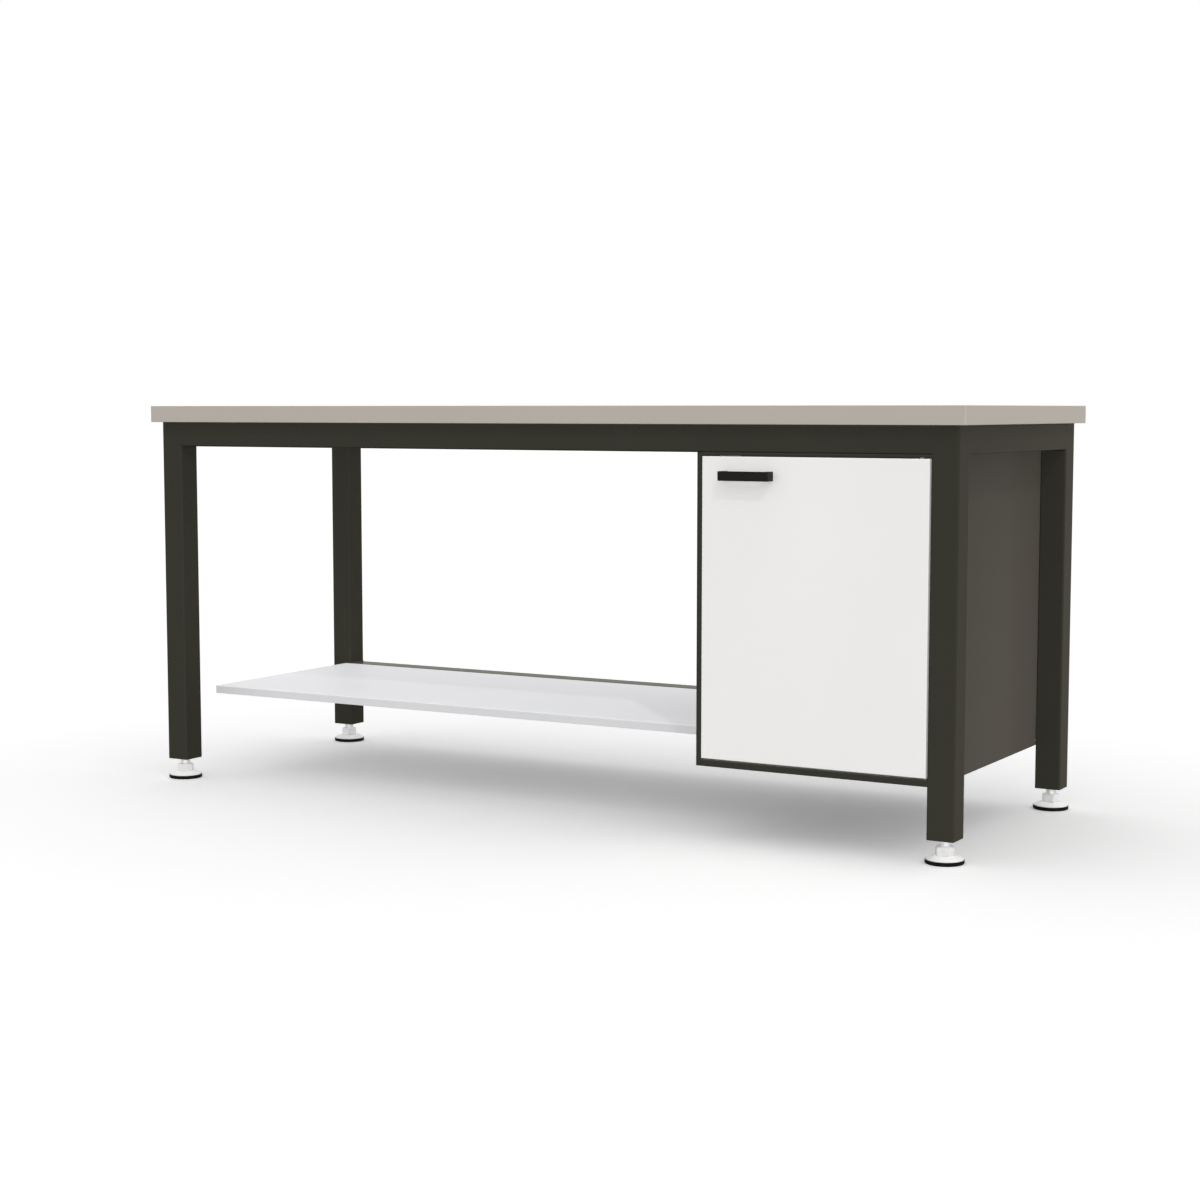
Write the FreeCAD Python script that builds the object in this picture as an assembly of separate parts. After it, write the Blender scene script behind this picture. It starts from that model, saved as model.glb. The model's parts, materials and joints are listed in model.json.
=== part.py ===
import FreeCAD, Part
import math
import os
from collections import namedtuple

V = FreeCAD.Vector
ALONG_X = V(1, 0, 0)
ALONG_Y = V(0, 1, 0)
ALONG_Z = V(0, 0, 1)

# Workbench on four levelling feet: welded tube frame, laminate worktop, a cupboard at the right
# and a shelf on arms at the left. Millimetres, front towards -Y, origin on the floor under the middle.

# Tube frame
bench_length = 2100.0        # over the outside of the legs
bench_depth = 750.0          # front face to rear face of the legs
leg_length = 850.0
tube_size = 60.0
tube_wall = 2.5
tube_inside_corner = 1.5
rail_cope = 3.0              # rail's end round the leg's corner, ground flush
cross_rail_height = 30.0
access_hole = 16.0           # in a rail's underside, for the driver

# Worktop
top_thickness = 40.0
top_overhang = 20.0
laminate_thickness = 1.0
edging_thickness = 2.0
edging_corner = 3.0
edging_arris = 1.0
top_screw_length = 26.0
top_screw_columns = 4
top_screw_inset = 120.0      # first screw from the leg

# Levelling feet
foot_height = 50.0           # floor to the legs' ends
pad_diameter = 82.0
pad_height = 8.5
pad_lip = 1.0                # rubber round the plate's rim
pad_recess = 2.0
pad_chamfer = 1.5
plate_rim = 3.5
plate_rise = 8.5             # pad's top to plate's top
plate_neck = 44.0
plate_bulge = 1.25           # dome above a plain cone, at half its width
hex_flats = 36.0
hex_height = 19.0
hex_chamfer = 1.5
stem_diameter = 24.0
stem_in_leg = 60.0           # length of stem above the leg's end
stub_diameter = 16.0
stub_depth = 7.0
socket_plate = 10.0
socket_boss = 40.0
socket_boss_height = 30.0

# Cupboard
cabinet_width = 533.0        # left face to the right legs
cabinet_lift = 110.0         # legs' ends to the cupboard's underside
sheet = 1.2
side_wall = 10.0             # double-skin walls on both sides
right_skin_drop = 8.5        # right skin's lower edge below the cupboard's underside
right_skin_lap = 24.0        # right skin over the rear leg's inner face
lap_notch_gap = 1.0          # right skin round the rear lower rail
jamb_depth = 30.0
bend_radius = 1.0            # inside every bend of the cupboard and its brackets
floor_depth = 14.3
ceiling_depth = 6.0
bracket_sheet = 2.0
hanger_leg = 30.0
hanger_inset = 30.0
cabinet_screw_inset = 120.0
cabinet_screw_grip = 4.0     # screw beyond the last wall
floor_screw_room = 1.0       # screw's head to the floor tray's flange

# Door, hung on two pins
door_gap = 2.5
door_thickness = 20.0
door_sheet = 1.0
door_bend = 0.5
liner_flange = 12.0
hinge_inset = 20.0           # pin to the door's right edge
swing_clearance = 0.64       # door's heel to the leg while it turns
pin_diameter = 8.0
pin_in_door = 15.0
bush_diameter = 13.0
bush_flange = 17.0
bush_float = 0.3             # lower bush to the cupboard's floor
pivot_length = 38.0
pivot_width = 14.0

# Bow handle
handle_reach = 30.0
handle_width = 118.0
handle_height = 20.5
handle_bar = 9.0
handle_leg = 12.0
handle_corner = 5.0
handle_edge = 1.5
handle_inset = 50.0          # from the door's left edge
handle_drop = 30.5           # from the door's top edge
handle_screw_length = 12.0

# Magnetic catch
catch_inset = 30.0
catch_width = 46.0
catch_depth = 18.0
catch_height = 24.0
catch_corner = 4.0
catch_gap = 0.3
pole_width = 28.0            # two steel poles in the catch's front
pole_sheet = 2.0
pole_reach = 1.0
pole_spacing = 8.0
strike_width = 34.0
strike_height = 16.0
strike_sheet = 1.5
strike_drop = 1.5            # below the door's inner edge

# Loose shelf inside the cupboard
inner_shelf_depth = 20.0
inner_shelf_setback = 52.0
inner_shelf_gap = 1.0
peg_diameter = 5.0
peg_room = 0.8               # peg's end to the outer skin
peg_pitch = 80.0
peg_first = 80.0
peg_inset_front = 120.0
peg_inset_rear = 70.0
clip_reach = 12.0
clip_width = 14.0
clip_height = 8.0

# Lower shelf on arms
shelf_level = 174.0          # legs' ends to the shelf's top
shelf_inset = 45.0           # from the left legs' outer face
shelf_setback = 135.0        # from the legs' front face
shelf_gap = 2.0
shelf_depth = 20.0
shelf_sheet = 1.5
shelf_bend = 0.5
arm_count = 3
arm_inset = 120.0
arm_width = 30.0
arm_sheet = 2.5
arm_tip = 14.0
arm_root = 56.0
arm_tip_gap = 10.0
arm_slot_gap = 0.3
bolt_rise = 14.0             # arm's lower edge to its first bolt
bolt_spacing = 22.0
cleat_leg = 30.0
cleat_drop = 17.0
cleat_inset = 40.0
cleat_screw_count = 3
cleat_screw_length = 8.0

# Fits
running_fit = 0.05           # radial, pin in bush and stem in socket
screw_fit = 0.1              # radial, screw in hole
seat_fit = 0.1               # plate in tube, plate in pad

Fastener = namedtuple("Fastener", "shank head head_height sides")
WOOD_SCREW = Fastener(5.0, 11.0, 3.0, 0)
SHEET_SCREW = Fastener(5.0, 10.0, 3.0, 0)
HANDLE_SCREW = Fastener(4.0, 8.0, 2.6, 0)
ARM_BOLT = Fastener(8.0, 14.4, 5.3, 6)
Fixing = namedtuple("Fixing", "kind seat direction length")

# Datum planes
x_right = bench_length / 2
x_left = -x_right
y_front = (handle_reach - bench_depth - top_overhang) / 2
y_rear = y_front + bench_depth
z_leg = foot_height
z_frame = z_leg + leg_length
z_rail = z_frame - tube_size
z_top = z_frame + top_thickness
half_tube = tube_size / 2
tube_corner = tube_inside_corner + tube_wall
leg_in_right = x_right - tube_size
leg_in_left = x_left + tube_size
leg_back_front = y_front + tube_size
leg_front_rear = y_rear - tube_size
y_front_rail = y_front + half_tube
y_rear_rail = y_rear - half_tube
z_shelf = z_leg + shelf_level

cab_x0 = leg_in_right - cabinet_width
wall_x = cab_x0 + side_wall
cab_z0 = z_leg + cabinet_lift
cab_z1 = z_rail
cab_y0 = y_front
cab_y1 = leg_front_rear
floor_z = cab_z0 + floor_depth
ceiling_z = cab_z1 - sheet

heel_sweep = math.hypot(hinge_inset, door_thickness / 2)
hinge_gap = heel_sweep - hinge_inset + swing_clearance
door_x0 = wall_x + door_gap
door_x1 = leg_in_right - hinge_gap
door_y0 = cab_y0
door_y1 = cab_y0 + door_thickness
door_z0 = floor_z + door_gap
door_z1 = cab_z1 - ceiling_depth - door_gap
hinge_x = door_x1 - hinge_inset
hinge_y = cab_y0 + door_thickness / 2
skin_y = door_y0 + door_sheet

# The right wall starts behind the sweep of the door's heel
right_wall_x = leg_in_right - side_wall
right_wall_y0 = hinge_y + heel_sweep + swing_clearance

shelf_x0 = x_left + shelf_inset
shelf_y0 = y_front + shelf_setback
shelf_y1 = leg_front_rear - shelf_gap
shelf_under = z_shelf - shelf_sheet

parts = {}


def box(x0, x1, y0, y1, z0, z1):
    """Block between two corners."""
    return Part.makeBox(x1 - x0, y1 - y0, z1 - z0, V(x0, y0, z0))


def round_edges(shape, radius, chosen):
    """Fillet the edges that pass a test."""
    return shape.makeFillet(radius, [edge for edge in shape.Edges if chosen(edge)])


def runs_along(direction):
    """Test for edges parallel to a direction."""
    def test(edge):
        span = edge.Vertexes[-1].Point - edge.Vertexes[0].Point
        return span.cross(direction).Length < 1e-6
    return test


def lies_on(axis, value):
    """Test for edges in the plane where axis, such as x, has one value."""
    def test(edge):
        return all(abs(getattr(vertex.Point, axis) - value) < 1e-6 for vertex in edge.Vertexes)
    return test


def tube_form(x0, x1, y0, y1, z0, z1, axis):
    """Outside of a square tube along axis."""
    return round_edges(box(x0, x1, y0, y1, z0, z1), tube_corner, runs_along(axis))


def tube(x0, x1, y0, y1, z0, z1, axis):
    """Tube that fills a box and is open at both ends of axis."""
    wall = (V(1, 1, 1) - axis) * tube_wall
    bore = box(x0 + wall.x, x1 - wall.x, y0 + wall.y, y1 - wall.y, z0 + wall.z, z1 - wall.z)
    outer = tube_form(x0, x1, y0, y1, z0, z1, axis)
    return outer.cut(round_edges(bore, tube_inside_corner, runs_along(axis)))


def rail(x0, x1, y0, y1, z0, z1, axis, posts):
    """Tube between two posts, its ends coped round their corners."""
    reach = axis * rail_cope
    blank = tube(x0 - reach.x, x1 + reach.x, y0 - reach.y, y1 + reach.y, z0, z1, axis)
    return blank.cut(posts)


def faces_towards(shape, direction):
    """Flat faces that look along a direction."""
    return [face for face in shape.Faces
            if face.Surface.TypeId == "Part::GeomPlane" and face.normalAt(0, 0).dot(direction) > 1 - 1e-6]


def pan(solid, open_side, thickness):
    """Sheet pan: a solid's walls without the flat one towards open_side."""
    return solid.makeThickness(faces_towards(solid, open_side), -thickness, 1e-3)


def tray(block, open_side, thickness):
    """Folded sheet tray: a pan whose walls are bent round its floor."""
    floor = faces_towards(block, open_side * -1)[0]
    return pan(block.makeFillet(bend_radius + thickness, floor.Edges), open_side, thickness)


def folded(path, thickness, radius, place):
    """Face of a folded sheet along a middle line, with round bends, put in space by place(u, v)."""
    points = [V(u, v, 0) for u, v in path]
    ways = [(end - start).normalize() for start, end in zip(points, points[1:])]
    sides = [V(-way.y, way.x, 0) for way in ways]
    bend = radius + thickness / 2

    def edge_line(offset):
        """Straight runs and arcs of one skin, at an offset from the middle line."""
        pieces = []
        start = points[0] + sides[0] * offset
        for corner in range(1, len(points) - 1):
            before, after = corner - 1, corner
            turn = math.asin(max(-1.0, min(1.0, ways[before].cross(ways[after]).z)))
            reach = bend * math.tan(abs(turn) / 2)
            hand = math.copysign(1.0, turn)
            arc_start = points[corner] - ways[before] * reach
            centre = arc_start + sides[before] * bend * hand
            outward = (points[corner] - centre).normalize()
            first = arc_start + sides[before] * offset
            last = points[corner] + ways[after] * reach + sides[after] * offset
            middle = centre + outward * (bend - offset * hand)
            pieces.append((start, first))
            pieces.append((first, middle, last))
            start = last
        pieces.append((start, points[-1] + sides[-1] * offset))
        return pieces

    left = edge_line(thickness / 2)
    right = edge_line(-thickness / 2)
    loop = left + [(left[-1][-1], right[-1][-1])] + right + [(left[0][0], right[0][0])]
    edges = []
    for piece in loop:
        spots = [place(spot.x, spot.y) for spot in piece]
        curve = Part.Arc(*spots) if len(spots) == 3 else Part.LineSegment(*spots)
        edges.append(curve.toShape())
    return Part.Face(Part.Wire(Part.__sortEdges__(edges)))


def revolved(outline):
    """Solid turned about Z from half an outline of points, or arcs given as three points."""
    edges = []
    for piece in outline:
        spots = [V(radius, 0, height) for radius, height in piece]
        curve = Part.Arc(*spots) if len(spots) == 3 else Part.LineSegment(*spots)
        edges.append(curve.toShape())
    return Part.Face(Part.Wire(edges)).revolve(V(0, 0, 0), ALONG_Z, 360)


def hexagon_prism(flats, height, base, direction):
    """Hexagonal block on base, along direction."""
    rim = Part.makeCylinder(flats / math.sqrt(3), height)
    block = rim
    for turn in range(3):
        slab = box(-flats, flats, -flats / 2, flats / 2, 0, height)
        slab.rotate(V(0, 0, 0), ALONG_Z, turn * 60)
        block = block.common(slab)
    block.Placement = FreeCAD.Placement(base, FreeCAD.Rotation(ALONG_Z, direction))
    return block


def fastener(fixing):
    """Screw or bolt whose head sits on its seat."""
    kind, seat, direction, length = fixing
    shank = Part.makeCylinder(kind.shank / 2, length, seat, direction)
    if kind.sides:
        head = hexagon_prism(kind.head * math.sqrt(3) / 2, kind.head_height, seat, direction * -1)
    else:
        head = Part.makeCylinder(kind.head / 2, kind.head_height, seat, direction * -1)
        head = round_edges(head, kind.head_height / 2, lambda edge: is_far_rim(edge, seat, direction))
    return shank.fuse(head).removeSplitter()


def is_far_rim(edge, seat, direction):
    """True for the rim of a round head that faces away from its seat."""
    rim = edge.Curve.TypeId == "Part::GeomCircle"
    return rim and abs((edge.Curve.Center - seat).dot(direction)) > 1e-6


def group(fixings):
    """One node of separate, like fasteners."""
    return Part.makeCompound([fastener(fixing) for fixing in fixings])


def drill(name, fixings):
    """Cut the holes of some fasteners through a part."""
    for fixing in fixings:
        radius = fixing.kind.shank / 2 + screw_fit
        hole = Part.makeCylinder(radius, fixing.length + screw_fit, fixing.seat, fixing.direction)
        parts[name] = parts[name].cut(hole)


def spread(first, last, count):
    """Evenly spaced values from first to last."""
    return [first + (last - first) * step / (count - 1) for step in range(count)]


# Legs and rails
leg_places = {
    "front_left": (x_left, y_front),
    "front_right": (leg_in_right, y_front),
    "rear_left": (x_left, leg_front_rear),
    "rear_right": (leg_in_right, leg_front_rear),
}

# Rails are coped to the legs' outsides. At the top two rails meet, so there a leg's inner corner is square.
posts = []
corner_posts = []
for corner, (x, y) in leg_places.items():
    bounds = (x, x + tube_size, y, y + tube_size, z_leg, z_frame)
    parts["leg_" + corner] = tube(*bounds, ALONG_Z)
    post = tube_form(*bounds, ALONG_Z)
    inner_x = x + half_tube if corner.endswith("left") else x
    inner_y = y + half_tube if corner.startswith("front") else y
    quarter = box(inner_x, inner_x + half_tube, inner_y, inner_y + half_tube, z_leg, z_frame)
    posts.append(post)
    corner_posts.append(post.fuse(quarter))

across = (leg_in_left, leg_in_right)
inwards = (leg_back_front, leg_front_rear)
front_tube = (y_front, leg_back_front)
rear_tube = (leg_front_rear, y_rear)
top_level = (z_rail, z_frame)
parts["front_top_rail"] = rail(*across, *front_tube, *top_level, ALONG_X, corner_posts)
parts["rear_top_rail"] = rail(*across, *rear_tube, *top_level, ALONG_X, corner_posts)
parts["left_top_rail"] = rail(x_left, leg_in_left, *inwards, *top_level, ALONG_Y, corner_posts)
parts["right_top_rail"] = rail(leg_in_right, x_right, *inwards, *top_level, ALONG_Y, corner_posts)
parts["rear_lower_rail"] = rail(*across, *rear_tube, z_shelf - tube_size, z_shelf, ALONG_X, posts)
parts["centre_cross_rail"] = tube(
    -half_tube, half_tube, *inwards, z_frame - cross_rail_height, z_frame, ALONG_Y)

# Worktop: core between two laminates, edging wrapped round the four sides
top_x = x_right + top_overhang
top_y0 = y_front - top_overhang
top_y1 = y_rear + top_overhang
core = (-top_x + edging_thickness, top_x - edging_thickness,
        top_y0 + edging_thickness, top_y1 - edging_thickness)
core_z0 = z_frame + laminate_thickness
core_z1 = z_top - laminate_thickness
parts["worktop_core"] = box(*core, core_z0, core_z1)
parts["worktop_laminate"] = box(*core, core_z1, z_top)
parts["worktop_backer"] = box(*core, z_frame, core_z0)
slab = round_edges(box(-top_x, top_x, top_y0, top_y1, z_frame, z_top), edging_corner, runs_along(ALONG_Z))
slab = round_edges(slab, edging_arris, lambda edge: lies_on("z", z_frame)(edge) or lies_on("z", z_top)(edge))
parts["worktop_edging"] = slab.cut(box(*core, z_frame, z_top))

top_seat = z_frame - tube_wall
top_columns = spread(leg_in_left + top_screw_inset, leg_in_right - top_screw_inset, top_screw_columns)
cross_rows = [leg_back_front + top_screw_inset, leg_front_rear - top_screw_inset]
top_seats = [(x, y) for x in top_columns for y in (y_front_rail, y_rear_rail)]
top_seats += [(0.0, y) for y in cross_rows]
top_screws = [Fixing(WOOD_SCREW, V(x, y, top_seat), ALONG_Z, top_screw_length) for x, y in top_seats]
for name in ("front_top_rail", "rear_top_rail", "centre_cross_rail"):
    for x, y in top_seats:
        access = Part.makeCylinder(access_hole / 2, tube_size - tube_wall * 2, V(x, y, z_rail))
        parts[name] = parts[name].cut(access)
for name in ("front_top_rail", "rear_top_rail", "centre_cross_rail", "worktop_backer", "worktop_core"):
    drill(name, top_screws)
parts["worktop_screws"] = group(top_screws)

# Levelling feet
pad_radius = pad_diameter / 2
plate_radius = pad_radius - pad_lip
plate_z0 = pad_height - pad_recess
plate_shoulder = plate_z0 + plate_rim
plate_z1 = pad_height + plate_rise
hex_top = plate_z1 + hex_height
neck_radius = plate_neck / 2
stub_z0 = plate_z1 - stub_depth
recess_radius = plate_radius + seat_fit
dome_mid = ((plate_radius + neck_radius) / 2, (plate_shoulder + plate_z1) / 2 + plate_bulge)


def foot_pad():
    """Rubber pad with a lip round the plate's rim."""
    corners = [(0, 0), (pad_radius - pad_chamfer, 0), (pad_radius, pad_chamfer), (pad_radius, pad_height),
               (recess_radius, pad_height), (recess_radius, plate_z0), (0, plate_z0)]
    return revolved(list(zip(corners, corners[1:] + corners[:1])))


def foot_plate():
    """Domed plate with the ball stub's hole in its top."""
    dome = ((plate_radius, plate_shoulder), dome_mid, (neck_radius, plate_z1))
    body = revolved([((0, plate_z0), (plate_radius, plate_z0)),
                     ((plate_radius, plate_z0), (plate_radius, plate_shoulder)),
                     dome,
                     ((neck_radius, plate_z1), (0, plate_z1)),
                     ((0, plate_z1), (0, plate_z0))])
    hole_z0 = stub_z0 - seat_fit
    hole = Part.makeCylinder(stub_diameter / 2 + seat_fit, plate_z1 - hole_z0, V(0, 0, hole_z0))
    return body.cut(hole)


def foot_spindle():
    """Threaded stem with its adjusting hexagon and the stub that turns in the plate."""
    corner = hex_flats / math.sqrt(3)
    low, high = plate_z1, hex_top
    turned = revolved([((0, low), (corner - hex_chamfer, low)),
                       ((corner - hex_chamfer, low), (corner, low + hex_chamfer / 2)),
                       ((corner, low + hex_chamfer / 2), (corner, high - hex_chamfer / 2)),
                       ((corner, high - hex_chamfer / 2), (corner - hex_chamfer, high)),
                       ((corner - hex_chamfer, high), (0, high)),
                       ((0, high), (0, low))])
    nut = turned.common(hexagon_prism(hex_flats, hex_height, V(0, 0, low), ALONG_Z))
    stem_top = z_leg + stem_in_leg
    stem = Part.makeCylinder(stem_diameter / 2, stem_top - high, V(0, 0, high))
    stem = round_edges(stem, hex_chamfer, lies_on("z", stem_top))
    stub = Part.makeCylinder(stub_diameter / 2, stub_depth, V(0, 0, stub_z0))
    return nut.fuse([stem, stub]).removeSplitter()


def foot_socket():
    """Tapped plug that closes a leg's lower end."""
    half = half_tube - tube_wall - seat_fit
    plug = box(-half, half, -half, half, z_leg, z_leg + socket_plate)
    plug = round_edges(plug, tube_inside_corner + seat_fit, runs_along(ALONG_Z))
    boss = Part.makeCylinder(socket_boss / 2, socket_boss_height, V(0, 0, z_leg + socket_plate))
    height = socket_plate + socket_boss_height
    bore = Part.makeCylinder(stem_diameter / 2 + running_fit, height, V(0, 0, z_leg))
    return plug.fuse(boss).cut(bore).removeSplitter()


foot_makers = {"foot_pad_": foot_pad, "foot_plate_": foot_plate,
               "foot_spindle_": foot_spindle, "foot_socket_": foot_socket}
for corner, (x, y) in leg_places.items():
    for prefix, maker in foot_makers.items():
        piece = maker()
        piece.translate(V(x + half_tube, y + half_tube, 0))
        parts[prefix + corner] = piece

# Cupboard walls: each side is a folded outer skin and a liner pan, floor and top fit between them
half_sheet = sheet / 2
cab_inner_y1 = cab_y1 - sheet


def side_skin(outer, inner, front, rear_end, z0):
    """Outer skin of a side, from z0 up, folded round the front edge. Its path starts at rear_end."""
    inset = math.copysign(half_sheet, inner - outer)
    path = rear_end + [(outer + inset, front + half_sheet), (inner - inset, front + half_sheet),
                       (inner - inset, front + jamb_depth)]
    return folded(path, sheet, bend_radius, lambda u, v: V(u, v, z0)).extrude(ALONG_Z * (cab_z1 - z0))


def cabinet_level(z0, z1):
    """Folded floor or top, notched round the right wall."""
    block = box(wall_x, leg_in_right, cab_y0, cab_inner_y1, z0, z1)
    notch = box(right_wall_x, leg_in_right, right_wall_y0, cab_inner_y1, z0, z1)
    return tray(block.cut(notch), ALONG_Z * -1, sheet)


# The left skin is folded in at the rear. The right one laps both legs, notched round the rear lower rail.
left_rear = [(wall_x, cab_y1 - half_sheet), (cab_x0 + half_sheet, cab_y1 - half_sheet)]
parts["cabinet_left_panel"] = side_skin(cab_x0, wall_x, cab_y0, left_rear, cab_z0)
lap_y1 = cab_y1 + right_skin_lap
right_rear = [(leg_in_right - half_sheet, lap_y1)]
right_skin = side_skin(leg_in_right, right_wall_x, right_wall_y0, right_rear, cab_z0 - right_skin_drop)
rail_notch = box(right_wall_x, leg_in_right, cab_y1, lap_y1,
                 z_shelf - tube_size - lap_notch_gap, z_shelf + lap_notch_gap)
parts["cabinet_right_panel"] = right_skin.cut(rail_notch)
liner_y1 = cab_inner_y1 - bend_radius
left_liner = box(cab_x0 + sheet, wall_x, cab_y0 + jamb_depth, liner_y1, cab_z0, cab_z1)
parts["cabinet_left_liner"] = tray(left_liner, ALONG_X * -1, sheet)
right_liner = box(right_wall_x, leg_in_right - sheet, right_wall_y0 + jamb_depth, liner_y1, cab_z0, cab_z1)
parts["cabinet_right_liner"] = tray(right_liner, ALONG_X, sheet)
parts["cabinet_bottom"] = cabinet_level(cab_z0, floor_z)
parts["cabinet_top"] = cabinet_level(cab_z1 - ceiling_depth, cab_z1)
parts["cabinet_back"] = box(wall_x, leg_in_right - sheet, cab_inner_y1, cab_y1, cab_z0, cab_z1)

# Angle that hangs the cupboard's rear from the rear top rail
half_bracket = bracket_sheet / 2
hanger_path = [(cab_y1 - hanger_leg, cab_z1 + half_bracket), (cab_y1 - half_bracket, cab_z1 + half_bracket),
               (cab_y1 - half_bracket, cab_z1 + hanger_leg)]
hanger_x0 = wall_x + hanger_inset
hanger_face = folded(hanger_path, bracket_sheet, bend_radius, lambda u, v: V(hanger_x0, u, v))
parts["cabinet_hanger"] = hanger_face.extrude(ALONG_X * (leg_in_right - hanger_inset - hanger_x0))

# Screws that hold the cupboard in the frame
rail_grip = tube_wall + cabinet_screw_grip
cabinet_screws = []
for x in (wall_x + cabinet_screw_inset, leg_in_right - cabinet_screw_inset):
    hanger_mid = hanger_leg / 2
    cabinet_screws += [
        Fixing(SHEET_SCREW, V(x, y_front_rail, ceiling_z), ALONG_Z, sheet + rail_grip),
        Fixing(SHEET_SCREW, V(x, cab_y1 - hanger_mid, ceiling_z), ALONG_Z,
               sheet + bracket_sheet + cabinet_screw_grip),
        Fixing(SHEET_SCREW, V(x, cab_y1 - bracket_sheet, cab_z1 + hanger_mid), ALONG_Y,
               bracket_sheet + rail_grip),
        Fixing(SHEET_SCREW, V(x, cab_inner_y1, z_shelf - half_tube), ALONG_Y, sheet + rail_grip),
    ]
floor_screw_y = right_wall_y0 - sheet - floor_screw_room - SHEET_SCREW.head / 2
floor_screw_seat = V(leg_in_right - sheet, floor_screw_y, cab_z0 + floor_depth / 2)
lap_seats = [V(leg_in_right - sheet, cab_y1 + right_skin_lap / 2, z)
             for z in (z_shelf + cabinet_screw_inset, cab_z1 - cabinet_screw_inset)]
for seat in [floor_screw_seat] + lap_seats:
    cabinet_screws.append(Fixing(SHEET_SCREW, seat, ALONG_X, sheet + rail_grip))
for name in ("cabinet_top", "cabinet_hanger", "cabinet_back", "cabinet_bottom", "cabinet_right_panel",
             "front_top_rail", "rear_top_rail", "rear_lower_rail", "leg_front_right", "leg_rear_right"):
    drill(name, cabinet_screws)
parts["cabinet_screws"] = group(cabinet_screws)

# Door: folded front pan and a liner that closes its back
door_block = box(door_x0, door_x1, door_y0, door_y1, door_z0, door_z1)
door_block = round_edges(door_block, door_bend + door_sheet, lies_on("y", door_y0))
parts["door_front"] = pan(door_block, ALONG_Y, door_sheet)
liner_block = box(door_x0 + door_sheet, door_x1 - door_sheet, door_y1 - liner_flange, door_y1,
                  door_z0 + door_sheet, door_z1 - door_sheet)
parts["door_liner"] = tray(liner_block, ALONG_Y * -1, door_sheet)

# Hinge pins on plates fixed to the cupboard, and the bushes that turn on them
pivot_thickness = ceiling_depth - sheet
pin_radius = pin_diameter / 2
pin_top_end = door_z1 - pin_in_door
pin_bottom_end = door_z0 + pin_in_door
floor_under = floor_z - sheet


def pivot(plate_z0, pin_z0, pin_z1):
    """Pin riveted in its plate."""
    plate = box(hinge_x - pivot_length / 2, hinge_x + pivot_length / 2,
                hinge_y - pivot_width / 2, hinge_y + pivot_width / 2, plate_z0, plate_z0 + pivot_thickness)
    pin = Part.makeCylinder(pin_radius, pin_z1 - pin_z0, V(hinge_x, hinge_y, pin_z0))
    return plate.fuse(pin).removeSplitter()


def upright(radius, z0, z1):
    """Cylinder on the hinge line."""
    return Part.makeCylinder(radius, z1 - z0, V(hinge_x, hinge_y, z0))


parts["hinge_pin_top"] = pivot(ceiling_z - pivot_thickness, pin_top_end, ceiling_z)
lower_plate_z = floor_under - pivot_thickness
parts["hinge_pin_bottom"] = pivot(lower_plate_z, lower_plate_z, pin_bottom_end)
parts["cabinet_bottom"] = parts["cabinet_bottom"].cut(upright(pin_radius + screw_fit, floor_under, floor_z))

bush_radius = bush_diameter / 2
bush_bore = upright(pin_radius + running_fit, cab_z0, cab_z1)
bush_z0 = door_z0 - door_gap + bush_float
lower_bush = upright(bush_flange / 2, bush_z0, door_z0).fuse(upright(bush_radius, bush_z0, pin_bottom_end))
parts["hinge_bush_bottom"] = lower_bush.cut(bush_bore).removeSplitter()
upper_bush = upright(bush_radius, pin_top_end, door_z1)
parts["hinge_bush_top"] = upper_bush.cut(bush_bore)
for name in ("door_front", "door_liner"):
    for z0, z1 in ((door_z0, pin_bottom_end), (pin_top_end, door_z1)):
        parts[name] = parts[name].cut(upright(bush_radius + seat_fit, z0, z1))

# Bow handle and its two screws from inside the door
handle_x0 = door_x0 + handle_inset
handle_x1 = handle_x0 + handle_width
handle_z1 = door_z1 - handle_drop
handle_z0 = handle_z1 - handle_height
handle_y0 = door_y0 - handle_reach
bar_y = handle_y0 + handle_bar


def bow_form(x0, x1, y0):
    """Block from the door to y0, rounded at its two front corners."""
    upright_edge = runs_along(ALONG_Z)
    front_edge = lies_on("y", y0)
    block = box(x0, x1, y0, door_y0, handle_z0, handle_z1)
    return round_edges(block, handle_corner, lambda edge: upright_edge(edge) and front_edge(edge))


def is_handle_rim(edge):
    """True for the bow's upper and lower outline, apart from its feet on the door."""
    level = lies_on("z", handle_z0)(edge) or lies_on("z", handle_z1)(edge)
    return level and not lies_on("y", door_y0)(edge)


bow = bow_form(handle_x0, handle_x1, handle_y0)
bow = bow.cut(bow_form(handle_x0 + handle_leg, handle_x1 - handle_leg, bar_y))
parts["door_handle"] = round_edges(bow, handle_edge, is_handle_rim)
handle_mid_z = (handle_z0 + handle_z1) / 2
handle_screws = [Fixing(HANDLE_SCREW, V(x, skin_y, handle_mid_z), ALONG_Y * -1, handle_screw_length)
                 for x in (handle_x0 + handle_leg / 2, handle_x1 - handle_leg / 2)]
for name in ("door_front", "door_handle"):
    drill(name, handle_screws)
parts["handle_screws"] = group(handle_screws)

# Magnetic catch under the cupboard's top, and the strike on the door
catch_x0 = door_x0 + catch_inset
catch_mid = catch_x0 + catch_width / 2
strike_y1 = door_y1 + strike_sheet
strike_z1 = door_z1 - door_sheet - strike_drop
catch_y0 = strike_y1 + catch_gap
catch_body_y0 = catch_y0 + pole_reach
catch = box(catch_x0, catch_x0 + catch_width, catch_body_y0, catch_y0 + catch_depth,
            ceiling_z - catch_height, ceiling_z)
catch = round_edges(catch, catch_corner, runs_along(ALONG_Z))
strike_mid_z = strike_z1 - strike_height / 2
for pole_z in (strike_mid_z - pole_spacing / 2, strike_mid_z + pole_spacing / 2):
    pole = box(catch_mid - pole_width / 2, catch_mid + pole_width / 2, catch_y0, catch_body_y0,
               pole_z - pole_sheet / 2, pole_z + pole_sheet / 2)
    catch = catch.fuse(pole)
parts["catch_magnet"] = catch.removeSplitter()
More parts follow.
